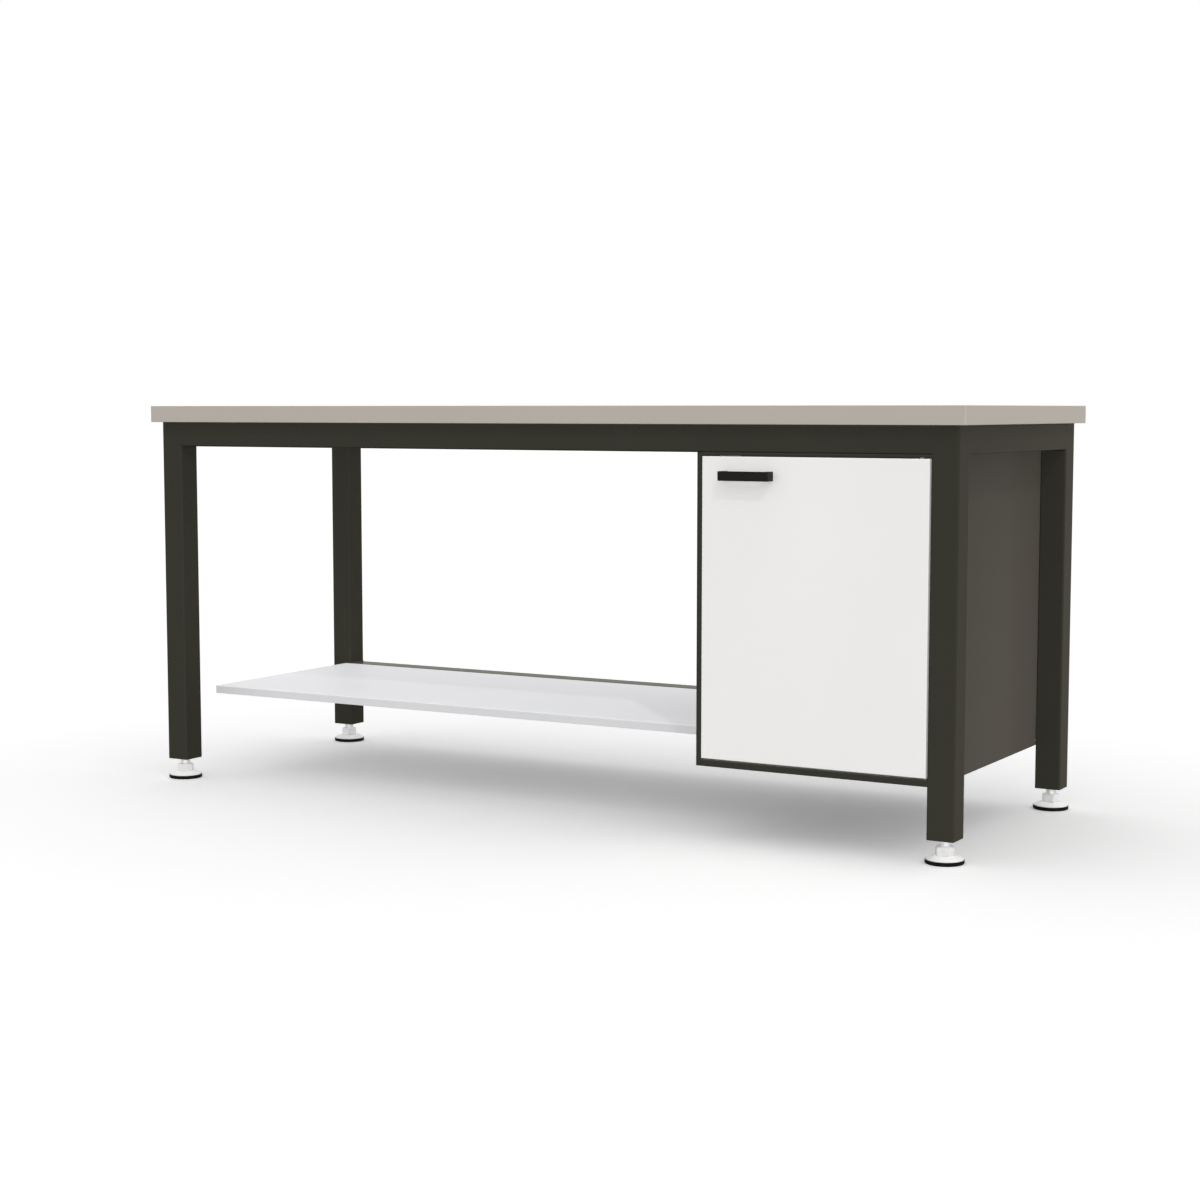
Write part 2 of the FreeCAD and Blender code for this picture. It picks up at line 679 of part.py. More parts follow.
parts["catch_strike"] = box(catch_mid - strike_width / 2, catch_mid + strike_width / 2, door_y1, strike_y1,
                            strike_z1 - strike_height, strike_z1)

# Loose shelf on four clips, and the rows of peg holes in both liners
peg_rows = []
row_z = floor_z + peg_first
while row_z < cab_z1 - ceiling_depth - peg_first:
    peg_rows.append(row_z)
    row_z += peg_pitch
peg_columns = (cab_y0 + peg_inset_front, cab_y1 - peg_inset_rear)
peg_length = side_wall - sheet - peg_room
for y in peg_columns:
    for z in peg_rows:
        for name, x in (("cabinet_left_liner", wall_x - sheet), ("cabinet_right_liner", right_wall_x)):
            hole = Part.makeCylinder(peg_diameter / 2 + screw_fit, sheet, V(x, y, z), ALONG_X)
            parts[name] = parts[name].cut(hole)


def clip(wall, way, y, z):
    """Shelf clip on a wall's inner face, with its peg through the wall; way points into the cupboard."""
    ledge = box(min(wall, wall + way * clip_reach), max(wall, wall + way * clip_reach),
                y - clip_width / 2, y + clip_width / 2, z - clip_height / 2, z + clip_height / 2)
    peg = Part.makeCylinder(peg_diameter / 2, peg_length, V(wall, y, z), ALONG_X * -way)
    return ledge.fuse(peg).removeSplitter()


clip_z = peg_rows[len(peg_rows) // 2]
parts["shelf_clips"] = Part.makeCompound(
    [clip(wall, way, y, clip_z) for wall, way in ((wall_x, 1), (right_wall_x, -1)) for y in peg_columns])
inner_shelf_z0 = clip_z + clip_height / 2
inner_shelf = box(wall_x + inner_shelf_gap, right_wall_x - inner_shelf_gap, cab_y0 + inner_shelf_setback,
                  cab_inner_y1 - inner_shelf_gap, inner_shelf_z0, inner_shelf_z0 + inner_shelf_depth)
parts["cabinet_shelf"] = tray(inner_shelf, ALONG_Z * -1, sheet)

# Lower shelf, its arms on the rear lower rail and the cleat on the cupboard's side
shelf_block = box(shelf_x0, cab_x0, shelf_y0, shelf_y1, z_shelf - shelf_depth, z_shelf)
shelf_block = round_edges(shelf_block, shelf_bend + shelf_sheet,
                          lambda edge: lies_on("z", z_shelf)(edge) and not lies_on("x", cab_x0)(edge))
lower_shelf = pan(shelf_block, ALONG_Z * -1, shelf_sheet)
arm_tip_y = shelf_y0 + shelf_sheet + arm_tip_gap
arm_columns = spread(shelf_x0 + arm_inset, cab_x0 - arm_inset, arm_count)
arm_names = ["shelf_arm_" + word for word in ("left", "middle", "right")]


def arm(x):
    """Tapered channel, open below, with a root plate against the rail."""
    def profile(y0, y1, z1, tip, root, width):
        corners = [V(x - width / 2, y, z) for y, z in
                   ((y1, z1), (y0, z1), (y0, z1 - tip), (y1, z1 - root), (y1, z1))]
        return Part.Face(Part.makePolygon(corners)).extrude(ALONG_X * width)
    outer = profile(arm_tip_y, leg_front_rear, shelf_under, arm_tip, arm_root, arm_width)
    channel = profile(arm_tip_y + arm_sheet, leg_front_rear - arm_sheet, shelf_under - arm_sheet,
                      arm_root, arm_root, arm_width - arm_sheet * 2)
    return outer.cut(channel)


arm_bolts = []
for name, x in zip(arm_names, arm_columns):
    parts[name] = arm(x)
    slot_half = arm_width / 2 + arm_slot_gap
    slot_y0 = shelf_y1 - shelf_sheet - shelf_bend
    lower_shelf = lower_shelf.cut(box(x - slot_half, x + slot_half, slot_y0, shelf_y1,
                                      z_shelf - shelf_depth, shelf_under))
    first_bolt = shelf_under - arm_root + bolt_rise
    for z in (first_bolt, first_bolt + bolt_spacing):
        seat = V(x, leg_front_rear - arm_sheet, z)
        arm_bolts.append(Fixing(ARM_BOLT, seat, ALONG_Y, arm_sheet + rail_grip))
parts["lower_shelf"] = lower_shelf
for name in arm_names + ["rear_lower_rail"]:
    drill(name, arm_bolts)
parts["arm_bolts"] = group(arm_bolts)

cleat_x1 = cab_x0 - shelf_sheet
cleat_x = cleat_x1 - half_bracket
cleat_z = shelf_under - half_bracket
cleat_path = [(cleat_x1 - cleat_leg, cleat_z), (cleat_x, cleat_z), (cleat_x, shelf_under - cleat_drop)]
cleat_y0 = shelf_y0 + cleat_inset
cleat_y1 = shelf_y1 - cleat_inset
cleat_face = folded(cleat_path, bracket_sheet, bend_radius, lambda u, v: V(u, cleat_y0, v))
parts["shelf_cleat"] = cleat_face.extrude(ALONG_Y * (cleat_y1 - cleat_y0))
cleat_screw_z = shelf_under - cleat_drop / 2
cleat_seat_x = cleat_x1 - bracket_sheet
cleat_rows = spread(cleat_y0 + cleat_inset, cleat_y1 - cleat_inset, cleat_screw_count)
cleat_screws = [Fixing(SHEET_SCREW, V(cleat_seat_x, y, cleat_screw_z), ALONG_X, cleat_screw_length)
                for y in cleat_rows]
for name in ("shelf_cleat", "lower_shelf", "cabinet_left_panel"):
    drill(name, cleat_screws)
parts["cleat_screws"] = group(cleat_screws)

os.makedirs("parts", exist_ok=True)
for name, shape in parts.items():
    shape.exportStep("parts/" + name + ".step")
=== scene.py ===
"""Looks of the workbench: a finish for every slot, threaded feet, weld seams, screw heads, studio."""

import json
import logging
import math
from collections.abc import Callable, Iterator, Mapping, Sequence
from dataclasses import dataclass
from enum import Enum
from typing import Any

import bmesh
import bpy
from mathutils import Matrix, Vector


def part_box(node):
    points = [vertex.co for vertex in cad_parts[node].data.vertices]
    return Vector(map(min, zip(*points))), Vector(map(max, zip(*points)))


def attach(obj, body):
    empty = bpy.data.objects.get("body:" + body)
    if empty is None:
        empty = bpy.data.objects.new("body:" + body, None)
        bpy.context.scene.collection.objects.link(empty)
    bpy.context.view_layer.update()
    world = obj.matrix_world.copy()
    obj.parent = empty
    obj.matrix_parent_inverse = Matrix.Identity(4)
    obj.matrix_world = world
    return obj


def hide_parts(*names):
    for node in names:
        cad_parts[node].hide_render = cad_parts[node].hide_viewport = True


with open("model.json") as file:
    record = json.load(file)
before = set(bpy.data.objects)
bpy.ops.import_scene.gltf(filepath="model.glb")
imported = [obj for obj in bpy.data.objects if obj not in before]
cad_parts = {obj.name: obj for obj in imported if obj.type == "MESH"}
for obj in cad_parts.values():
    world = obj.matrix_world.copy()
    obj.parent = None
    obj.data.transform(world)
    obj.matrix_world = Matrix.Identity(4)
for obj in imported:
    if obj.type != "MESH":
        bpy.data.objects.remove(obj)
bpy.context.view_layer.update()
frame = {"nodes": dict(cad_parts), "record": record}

LOG = logging.getLogger("workbench")
AXES = (0, 1, 2)
MERGE_DISTANCE = 1e-6
Color = tuple[float, float, float, float]
Band = tuple[float, float]
Run = tuple[Vector, Vector]
Loop = list[bmesh.types.BMVert]

# Middle of a pattern's values, and the part of a cloud's values that a smooth step spreads over 0 to 1.
MIDDLE = 0.5
CLOUD_BAND = (0.3, 0.7)

# Width of a hexagon's turned face as a share of its flats, and the slope of the cone that turns it.
TURNED_SHARE = 0.97
TURNED_SLOPE = math.tan(math.radians(30))


class Slot(Enum):
    """Material slots of the record."""

    FRAME_PAINT = "frame_paint"
    CABINET_PAINT = "cabinet_paint"
    DOOR_PAINT = "door_paint"
    SHELF_PAINT = "shelf_paint"
    WORKTOP_LAMINATE = "worktop_laminate"
    WORKTOP_EDGING = "worktop_edging"
    BACKING_LAMINATE = "backing_laminate"
    CHIPBOARD = "chipboard"
    HANDLE_PLASTIC = "handle_plastic"
    FOOT_RUBBER = "foot_rubber"
    FOOT_PLATE_COAT = "foot_plate_coat"
    ZINC_STEEL = "zinc_steel"
    NYLON = "nylon"
    CATCH_PLASTIC = "catch_plastic"


class Corner(Enum):
    """The bench's four corners, as its feet and legs are named."""

    FRONT_LEFT = "front_left"
    FRONT_RIGHT = "front_right"
    REAR_LEFT = "rear_left"
    REAR_RIGHT = "rear_right"


class Head(Enum):
    """Drives of the fasteners' heads."""

    CROSS = "cross"
    HEXAGON = "hexagon"


def shade(red: int, green: int, blue: int) -> Color:
    """Turn display bytes into the linear colour that a shader takes.

    Args:
        red: First channel, 0 to 255.
        green: Second channel.
        blue: Third channel.

    Returns:
        The colour with full alpha.
    """
    def channel(byte: int) -> float:
        """One channel through the display's curve."""
        value = byte / 255
        return value / 12.92 if value <= 0.04045 else ((value + 0.055) / 1.055) ** 2.4

    return channel(red), channel(green), channel(blue), 1.0


def toned(color: Color, factor: float) -> Color:
    """Lighten or darken a linear colour by a factor."""
    return color[0] * factor, color[1] * factor, color[2] * factor, 1.0


def maths(operation: str, swapped: bool = False) -> Callable[["Term", "Term | float"], "Term"]:
    """Make an operator of Term that adds one Math node.

    Args:
        operation: The node's operation.
        swapped: Whether the other number stands on the left.

    Returns:
        The operator.
    """
    def operator(term: "Term", other: "Term | float") -> "Term":
        """Put two numbers through the node.

        Args:
            term: The number that the operator belongs to.
            other: The other number.

        Returns:
            The node's result.
        """
        sides = (other, term) if swapped else (term, other)
        node = term.graph.node("ShaderNodeMath", {"operation": operation}, dict(enumerate(sides)))
        return Term(term.graph, node.outputs["Value"])

    return operator


class Term:
    """A number in a node tree, whose arithmetic adds Math nodes."""

    __add__ = maths("ADD")
    __radd__ = maths("ADD", swapped=True)
    __sub__ = maths("SUBTRACT")
    __rsub__ = maths("SUBTRACT", swapped=True)
    __mul__ = maths("MULTIPLY")
    __truediv__ = maths("DIVIDE")

    def __init__(self, graph: "Graph", socket: bpy.types.NodeSocket) -> None:
        """Wrap an output socket of a graph."""
        self.graph = graph
        self.socket = socket

    def ramp(self, low: float, high: float) -> "Term":
        """Smooth step from 0 at low to 1 at high.

        Args:
            low: Value that becomes 0.
            high: Value that becomes 1.

        Returns:
            The stepped value.
        """
        node = self.graph.node(
            "ShaderNodeMapRange",
            {"interpolation_type": "SMOOTHSTEP"},
            {"Value": self, "From Min": low, "From Max": high},
        )
        return Term(self.graph, node.outputs["Result"])


class Graph:
    """A node tree under construction."""

    def __init__(self, tree: bpy.types.NodeTree) -> None:
        """Take over a tree and empty it."""
        self.tree = tree
        self.tree.nodes.clear()

    def node(
        self,
        kind: str,
        settings: Mapping[str, Any] | None = None,
        sockets: Mapping[str | int, Any] | None = None,
    ) -> bpy.types.Node:
        """Add a node of any type.

        Args:
            kind: The node's type.
            settings: Options, which are set first.
            sockets: Values or links by the socket's identifier or place.

        Returns:
            The new node.
        """
        node = self.tree.nodes.new(kind)
        for option, value in (settings or {}).items():
            setattr(node, option, value)
        for key, value in (sockets or {}).items():
            target = self._socket(node.inputs, key)
            source = value.socket if isinstance(value, Term) else value
            if isinstance(source, bpy.types.NodeSocket):
                self.tree.links.new(source, target)
            else:
                target.default_value = source
        return node

    @staticmethod
    def _socket(sockets: Sequence[bpy.types.NodeSocket], key: str | int) -> bpy.types.NodeSocket:
        """Find a socket by its place or its identifier."""
        return next(socket for place, socket in enumerate(sockets) if key in (place, socket.identifier))


class Surface(Graph):
    """One material: patterns of real size on Object coordinates, ending in a Principled shader."""

    def __init__(self) -> None:
        """Make an empty material, which is named later."""
        self.material = bpy.data.materials.new("finish")
        self.material.use_nodes = True
        super().__init__(self.material.node_tree)
        self.place = self.node("ShaderNodeTexCoord").outputs["Object"]

    def drawn(self, scale: tuple[float, float, float]) -> bpy.types.NodeSocket:
        """Object coordinates squeezed along some axes, for grain that runs one way."""
        return self.node("ShaderNodeMapping", None, {"Vector": self.place, "Scale": scale}).outputs[0]

    def cloud(self, size: float, detail: float = 3.0, place: bpy.types.NodeSocket | None = None) -> Term:
        """Soft random pattern.

        Args:
            size: Width of one patch in metres.
            detail: Octaves of finer pattern.
            place: Coordinates, or the piece's own.

        Returns:
            Values around one half.
        """
        sockets = {"Vector": place or self.place, "Scale": 1 / size, "Detail": detail}
        return Term(self, self.node("ShaderNodeTexNoise", None, sockets).outputs["Fac"])

    def grains(self, size: float) -> Term:
        """Random tone for each of many small cells.

        Args:
            size: Width of one cell in metres.

        Returns:
            One value per cell, from 0 to 1.
        """
        cells = self.node("ShaderNodeTexVoronoi", None, {"Vector": self.place, "Scale": 1 / size})
        parts = self.node("ShaderNodeSeparateColor", None, {"Color": cells.outputs["Color"]})
        return Term(self, parts.outputs["Red"])

    def rim(self, radius: float, samples: int = 4) -> Term:
        """Mask of the edges that a hand or a cloth rubs.

        Args:
            radius: Width of the rubbed band in metres.
            samples: Rays that look for an edge.

        Returns:
            0 on flat faces, rising towards edges.
        """
        soft = self.node("ShaderNodeBevel", {"samples": samples}, {"Radius": radius}).outputs["Normal"]
        flat = self.node("ShaderNodeNewGeometry").outputs["Normal"]
        sockets = {"Vector": soft, "Vector_001": flat}
        turn = self.node("ShaderNodeVectorMath", {"operation": "DOT_PRODUCT"}, sockets).outputs["Value"]
        return 1 - Term(self, turn)

    def height(self) -> Term:
        """Height above the floor in metres."""
        return Term(self, self.node("ShaderNodeSeparateXYZ", None, {"Vector": self.place}).outputs["Z"])

    def mixed(self, share: Term, first: Any, second: Any) -> bpy.types.NodeSocket:
        """Blend two colours.

        Args:
            share: 0 for the first, 1 for the second.
            first: Colour or colour socket.
            second: Colour or colour socket.

        Returns:
            The blended colour.
        """
        sockets = {"Factor_Float": share, "A_Color": first, "B_Color": second}
        node = self.node("ShaderNodeMix", {"data_type": "RGBA"}, sockets)
        return self._socket(node.outputs, "Result_Color")

    def swayed(self, pattern: Term, color: Color) -> bpy.types.NodeSocket:
        """Lighten and darken a colour.

        Args:
            pattern: Share of the colour that is added, from -0.5 to 0.5.
            color: Colour where the pattern is 0.

        Returns:
            The colour with its pattern.
        """
        return self.mixed(pattern + MIDDLE, toned(color, 1 - MIDDLE), toned(color, 1 + MIDDLE))

    def relief(self, height: Term, depth: float) -> bpy.types.NodeSocket:
        """Normal of a fine texture.

        Args:
            height: Pattern from 0 to 1.
            depth: Its real depth in metres.

        Returns:
            The bumped normal.
        """
        return self.node("ShaderNodeBump", None, {"Height": height, "Distance": depth}).outputs["Normal"]

    def close(self, sockets: Mapping[str, Any]) -> bpy.types.Material:
        """End the tree in a Principled shader.

        Args:
            sockets: The shader's values and links.

        Returns:
            The finished material.
        """
        shader = self.node("ShaderNodeBsdfPrincipled", None, sockets)
        self.node("ShaderNodeOutputMaterial", None, {"Surface": shader.outputs["BSDF"]})
        return self.material


@dataclass(frozen=True)
class PowderCoat:
    """Baked powder coat: orange peel, faint drift of tone, uneven gloss and thin, lighter edges."""

    color: Color
    roughness: float = 0.4
    ior: float = 1.45
    bloom: float = 0.0
    bloom_tone: Color = (1.0, 0.86, 0.71, 1.0)
    bloom_spread: float = 0.3
    peel_size: float = 0.0025
    peel_depth: float = 0.000008
    drift_size: float = 0.4
    drift: float = 0.03
    smear_size: float = 0.09
    smear: float = 0.05
    rub_radius: float = 0.0015
    rub_turn: Band = (0.02, 0.25)
    rub_patches: Band = (0.4, 0.7)
    rub_tone: float = 1.5
    rub: float = 0.25

    def material(self) -> bpy.types.Material:
        """Build the coat.

        Returns:
            The material.
        """
        coat = Surface()
        drift = coat.cloud(self.drift_size).ramp(*CLOUD_BAND)
        tone = coat.mixed(drift, toned(self.color, 1 - self.drift), toned(self.color, 1 + self.drift))
        rubbed = coat.rim(self.rub_radius).ramp(*self.rub_turn) * self.rub
        patches = coat.cloud(self.smear_size).ramp(*self.rub_patches)
        tone = coat.mixed(rubbed * patches, tone, toned(self.color, self.rub_tone))
        smear = (coat.cloud(self.smear_size, detail=5.0) - MIDDLE) * self.smear
        return coat.close({
            "Base Color": tone,
            "Roughness": self.roughness + smear,
            "IOR": self.ior,
            "Sheen Weight": self.bloom,
            "Sheen Roughness": self.bloom_spread,
            "Sheen Tint": self.bloom_tone,
            "Normal": coat.relief(coat.cloud(self.peel_size, detail=1.0), self.peel_depth),
        })


@dataclass(frozen=True)
class Laminate:
    """Matt pressed laminate: mottled tone, fine specks, uneven gloss and a pearl texture."""

    color: Color
    roughness: float = 0.5
    ior: float = 1.45
    mottle_size: float = 0.006
    mottle: float = 0.05
    speck_size: float = 0.0012
    speck: float = 0.06
    smear_size: float = 0.12
    smear: float = 0.12
    pearl_size: float = 0.0009
    pearl_depth: float = 0.00002

    def material(self) -> bpy.types.Material:
        """Build the laminate.

        Returns:
            The material.
        """
        face = Surface()
        mottle = (face.cloud(self.mottle_size, detail=4.0).ramp(*CLOUD_BAND) - MIDDLE) * self.mottle
        speck = (face.grains(self.speck_size) - MIDDLE) * self.speck
        smear = (face.cloud(self.smear_size, detail=4.0) - MIDDLE) * self.smear
        return face.close({
            "Base Color": face.swayed(mottle + speck, self.color),
            "Roughness": self.roughness + smear,
            "IOR": self.ior,
            "Normal": face.relief(face.cloud(self.pearl_size, detail=1.0), self.pearl_depth),
        })


@dataclass(frozen=True)
class EdgeBand:
    """Drawn edging: the laminate's tone with faint lines along the edge and a slow drift."""

    color: Color
    roughness: float = 0.45
    ior: float = 1.15
    line_pitch: float = 0.0015
    line_stretch: tuple[float, float, float] = (0.01, 0.01, 1.0)
    line_tone: float = 0.04
    line_depth: float = 0.00001
    drift_size: float = 0.3
    drift_tone: float = 0.02
    drift_gloss: float = 0.06

    def material(self) -> bpy.types.Material:
        """Build the edging.

        Returns:
            The material.
        """
        band = Surface()
        lines = band.cloud(self.line_pitch, detail=2.0, place=band.drawn(self.line_stretch))
        drift = band.cloud(self.drift_size).ramp(*CLOUD_BAND) - MIDDLE
        pattern = (lines - MIDDLE) * self.line_tone + drift * self.drift_tone
        return band.close({
            "Base Color": band.swayed(pattern, self.color),
            "Roughness": self.roughness + drift * self.drift_gloss,
            "IOR": self.ior,
            "Normal": band.relief(lines, self.line_depth),
        })


@dataclass(frozen=True)
class Chipboard:
    """Pressed board: flakes of lighter and darker wood with finer fibre."""

    light: Color
    dark: Color
    flake_size: float = 0.003
    flake_share: float = 0.7
    fibre_size: float = 0.001
    fibre_gloss: float = 0.2
    roughness: float = 0.75
    depth: float = 0.0002

    def material(self) -> bpy.types.Material:
        """Build the board.

        Returns:
            The material.
        """
        board = Surface()
        flakes = board.grains(self.flake_size)
        fibre = board.cloud(self.fibre_size, detail=4.0)
        pattern = flakes * self.flake_share + fibre * (1 - self.flake_share)
        return board.close({
            "Base Color": board.mixed(pattern, self.dark, self.light),
            "Roughness": self.roughness + fibre * self.fibre_gloss,
            "Normal": board.relief(flakes + fibre, self.depth),
        })


@dataclass(frozen=True)
class Moulding:
    """Moulded plastic with a spark-eroded grain and slightly polished spots."""

    color: Color
    roughness: float = 0.45
    ior: float = 1.47
    grain_size: float = 0.0007
    grain_depth: float = 0.00003
    wear_size: float = 0.02
    wear_band: Band = (0.35, 0.7)
    wear_gloss: float = 0.1
    tones: Band = (0.9, 1.12)

    def material(self) -> bpy.types.Material:
        """Build the plastic.

        Returns:
            The material.
        """
        plastic = Surface()
        grain = plastic.cloud(self.grain_size, detail=2.0)
        wear = plastic.cloud(self.wear_size, detail=4.0).ramp(*self.wear_band)
        dark, light = (toned(self.color, factor) for factor in self.tones)
        return plastic.close({
            "Base Color": plastic.mixed((wear + grain) / 2, dark, light),
            "Roughness": self.roughness + (wear - MIDDLE) * self.wear_gloss,
            "IOR": self.ior,
            "Normal": plastic.relief(grain, self.grain_depth),
        })


@dataclass(frozen=True)
class Rubber:
    """Black rubber with a pitted skin and a trace of dust where it meets the floor."""

    color: Color
    dust_color: Color
    roughness: float = 0.62
    ior: float = 1.2
    pit_size: float = 0.0008
    pit_depth: float = 0.00005
    pit_gloss: float = 0.2
    dust_height: float = 0.004
    dust_size: float = 0.006
    dust_band: Band = (0.45, 0.75)
    dust_share: float = 0.5

    def material(self) -> bpy.types.Material:
        """Build the rubber.

        Returns:
            The material.
        """
        rubber = Surface()
        pits = rubber.cloud(self.pit_size)
        low = 1 - rubber.height().ramp(0.0, self.dust_height)
        dust = low * rubber.cloud(self.dust_size, detail=4.0).ramp(*self.dust_band) * self.dust_share
        return rubber.close({
            "Base Color": rubber.mixed(dust, self.color, self.dust_color),
            "Roughness": self.roughness + pits * self.pit_gloss,
            "IOR": self.ior,
            "Normal": rubber.relief(pits, self.pit_depth),
        })


@dataclass(frozen=True)
class ZincPlate:
    """Bright zinc over steel: fine cloudiness in tone and gloss."""

    color: Color
    roughness: float = 0.58
    cloud_size: float = 0.008
    cloud_gloss: float = 0.06
    tones: Band = (0.95, 1.03)
    grain_size: float = 0.0008
    grain_depth: float = 0.00001

    def material(self) -> bpy.types.Material:
        """Build the plating.

        Returns:
            The material.
        """
        plate = Surface()
        cloud = plate.cloud(self.cloud_size, detail=4.0).ramp(*CLOUD_BAND)
        dark, light = (toned(self.color, factor) for factor in self.tones)
        return plate.close({
            "Base Color": plate.mixed(cloud, dark, light),
            "Metallic": 1.0,
            "Roughness": self.roughness + cloud * self.cloud_gloss,
            "Normal": plate.relief(plate.cloud(self.grain_size, detail=2.0), self.grain_depth),
        })


def palette() -> dict[Slot, bpy.types.Material]:
    """Make one material for each slot of the record.

    Returns:
        The materials by slot.
    """
    finishes = {
        Slot.FRAME_PAINT: PowderCoat(
            shade(54, 53, 46), roughness=0.12, ior=1.035, bloom=0.15, bloom_tone=(1.0, 0.78, 0.5, 1.0),
        ),
        Slot.CABINET_PAINT: PowderCoat(shade(52, 52, 47), roughness=0.2, ior=1.025, bloom=0.68),
        Slot.DOOR_PAINT: PowderCoat(shade(230, 229, 227), drift=0.01, rub=0.0),
        Slot.SHELF_PAINT: PowderCoat(shade(212, 212, 214), roughness=0.5, ior=1.1, drift=0.01, rub=0.0),
        Slot.WORKTOP_LAMINATE: Laminate(shade(171, 164, 156)),
        Slot.WORKTOP_EDGING: EdgeBand(shade(174, 167, 159)),
        Slot.BACKING_LAMINATE: Laminate(shade(244, 244, 242)),
        Slot.CHIPBOARD: Chipboard(shade(214, 186, 146), shade(150, 116, 78)),
        Slot.HANDLE_PLASTIC: Moulding(shade(22, 21, 19), ior=1.2),
        Slot.FOOT_RUBBER: Rubber(shade(9, 9, 9), shade(70, 68, 65)),
        Slot.FOOT_PLATE_COAT: PowderCoat(shade(202, 201, 199), rub=0.0),
        Slot.ZINC_STEEL: ZincPlate(shade(226, 226, 226)),
        Slot.NYLON: Moulding(shade(42, 42, 41), roughness=0.4),
        Slot.CATCH_PLASTIC: Moulding(shade(206, 206, 203)),
    }
    made = {slot: finish.material() for slot, finish in finishes.items()}
    for slot, material in made.items():
        material.name = slot.value
    return made


def dress_nodes(materials: Mapping[Slot, bpy.types.Material]) -> None:
    """Give every CAD node the finish of its slot.

    Args:
        materials: Finished materials by slot.
    """
    for part in frame["record"]["subparts"]:
        node = frame["nodes"][part["node"]]
        node.data.materials.clear()
        node.data.materials.append(materials[Slot(part["material_slot"])])
        LOG.info("node %s wears %s", part["node"], part["material_slot"])


class ShapeTree(Graph):
    """A Geometry Nodes tree with named sizes, which is run once on a carrier mesh."""

    def __init__(self, name: str, sizes: Mapping[str, float]) -> None:
        """Open a tree with a geometry input and one number input for each size.

        Args:
            name: The tree's name.
            sizes: Values of the sizes, by their names.
        """
        super().__init__(bpy.data.node_groups.new(name, "GeometryNodeTree"))
        ports = self.tree.interface
        ports.new_socket("Geometry", in_out="INPUT", socket_type="NodeSocketGeometry")
        for label, value in sizes.items():
            ports.new_socket(label, in_out="INPUT", socket_type="NodeSocketFloat").default_value = value
        ports.new_socket("Geometry", in_out="OUTPUT", socket_type="NodeSocketGeometry")
        self.entry = self.node("NodeGroupInput")

    def carrier(self) -> bpy.types.NodeSocket:
        """The mesh that the tree runs on."""
        return self.entry.outputs["Geometry"]

    def size(self, label: str) -> Term:
        """One of the named sizes."""
        return Term(self, self.entry.outputs[label])

    def random(self, low: float, high: "Term | float", seed: int) -> bpy.types.NodeSocket:
        """Random number for each point.

        Args:
            low: Least value.
            high: Greatest value.
            seed: Fixed seed.

        Returns:
            The number's socket.
        """
        sockets = {"Min_001": low, "Max_001": high, "Seed": seed}
        node = self.node("FunctionNodeRandomValue", {"data_type": "FLOAT"}, sockets)
        return self._socket(node.outputs, "Value_001")

    def joined(self, *shapes: bpy.types.NodeSocket) -> bpy.types.NodeSocket:
        """Put several shapes together.

        Args:
            shapes: The shapes in order.

        Returns:
            All of them as one.
        """
        node = self.node("GeometryNodeJoinGeometry")
        for shape in shapes:
            self.tree.links.new(shape, node.inputs["Geometry"])
        return node.outputs["Geometry"]

    def moved(self, shape: bpy.types.NodeSocket, shift: Mapping[str, Term]) -> bpy.types.NodeSocket:
        """A shape moved along the named axes."""
        way = self.node("ShaderNodeCombineXYZ", None, shift).outputs["Vector"]
        return self.node("GeometryNodeTransform", None, {"Geometry": shape, "Translation": way}).outputs[0]

    def aimed(self, way: bpy.types.NodeSocket) -> bpy.types.NodeSocket:
        """The turn that brings the Z axis to a way."""
        node = self.node("FunctionNodeAlignRotationToVector", {"axis": "Z"}, {"Vector": way})
        return node.outputs["Rotation"]

    def close(self, shape: bpy.types.NodeSocket, material: bpy.types.Material) -> None:
        """End the tree in real geometry with its material.

        Args:
            shape: The geometry to hand out.
            material: Its finish.
        """
        real = self.node("GeometryNodeRealizeInstances", None, {"Geometry": shape}).outputs[0]
        sockets = {"Geometry": real, "Material": material}
        dressed = self.node("GeometryNodeSetMaterial", None, sockets).outputs[0]
        self.tree.links.new(dressed, self.node("NodeGroupOutput").inputs["Geometry"])

    def grow(self, name: str, carrier: bpy.types.Mesh, sizes: Mapping[str, float]) -> bpy.types.Object:
        """Run the tree and keep its result as a plain mesh.

        Args:
            name: Name of the piece.
            carrier: Mesh that the tree runs on.
            sizes: Values of named sizes.

        Returns:
            The piece.
        """
        piece = bpy.data.objects.new(name, carrier)
        bpy.context.scene.collection.objects.link(piece)
        modifier = piece.modifiers.new(name, "NODES")
        modifier.node_group = self.tree
        for item in self.tree.interface.items_tree:
            if item.in_out == "INPUT" and item.name in sizes:
                modifier[item.identifier] = sizes[item.name]
        grown = piece.evaluated_get(bpy.context.evaluated_depsgraph_get())
        result = bpy.data.meshes.new_from_object(grown)
        piece.modifiers.remove(modifier)
        piece.data = result
        result.name = name
        bpy.data.meshes.remove(carrier)
        return piece


def ring(radius: Callable[[float], float], height: Callable[[float], float], count: int) -> list[Vector]:
    """Closed ring of points about the Z axis.

    Args:
        radius: Distance from the axis at an angle.
        height: Height at an angle.
        count: Number of points.

    Returns:
        The points, counter-clockwise.
    """
    angles = [2 * math.pi * step / count for step in range(count)]
    return [Vector((radius(a) * math.cos(a), radius(a) * math.sin(a), height(a))) for a in angles]


def circle(radius: float, height: float, count: int) -> list[Vector]:
    """Level ring of points about the Z axis."""
    return ring(lambda angle: radius, lambda angle: height, count)


def wall(mesh: bmesh.types.BMesh, low: Loop, high: Loop) -> None:
    """Join two loops of as many vertices by quads."""
    for quad in zip(low, low[1:] + low[:1], high[1:] + high[:1], high):
        mesh.faces.new(quad)


